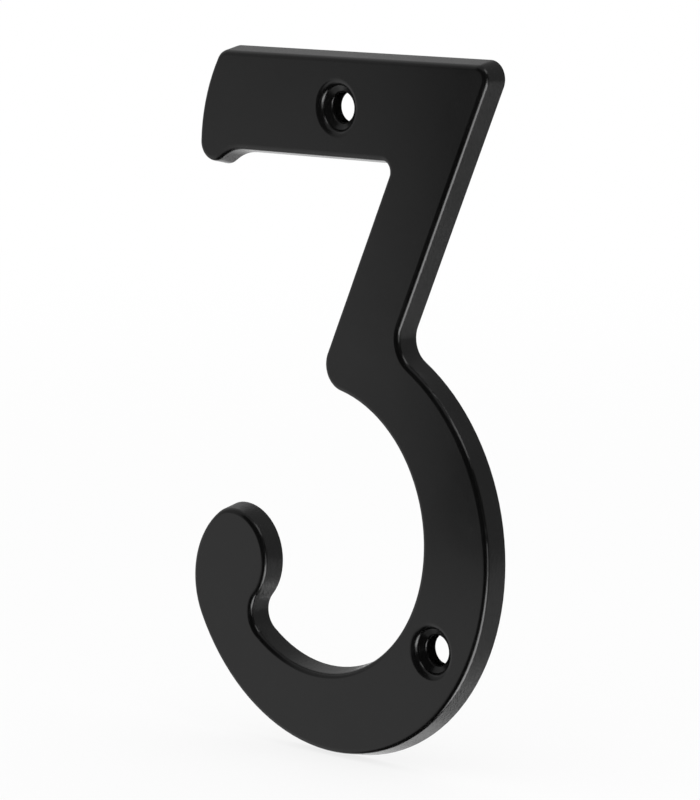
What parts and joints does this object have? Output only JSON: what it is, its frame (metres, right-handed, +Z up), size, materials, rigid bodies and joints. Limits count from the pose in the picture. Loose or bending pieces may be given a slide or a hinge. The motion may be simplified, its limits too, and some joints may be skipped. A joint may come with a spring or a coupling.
{
  "type": "house number",
  "caption": "Flat cast house number in the form of the figure 3, with leaning side walls and recessed screw holes for fixing it to a wall or door.",
  "frame": {"origin": "axis of the upper screw hole on the wall plane, which is the flat back of the numeral", "axes": "+Z up as the figure reads, +X to the right seen from the front, -Y out of the wall towards the viewer"},
  "size_m": [0.0609, 0.0032, 0.1016],
  "materials": {
    "coat": "satin black coat on a zinc casting"
  },
  "bodies": {
    "root": {"numeral": "coat"}
  },
  "joints": []
}
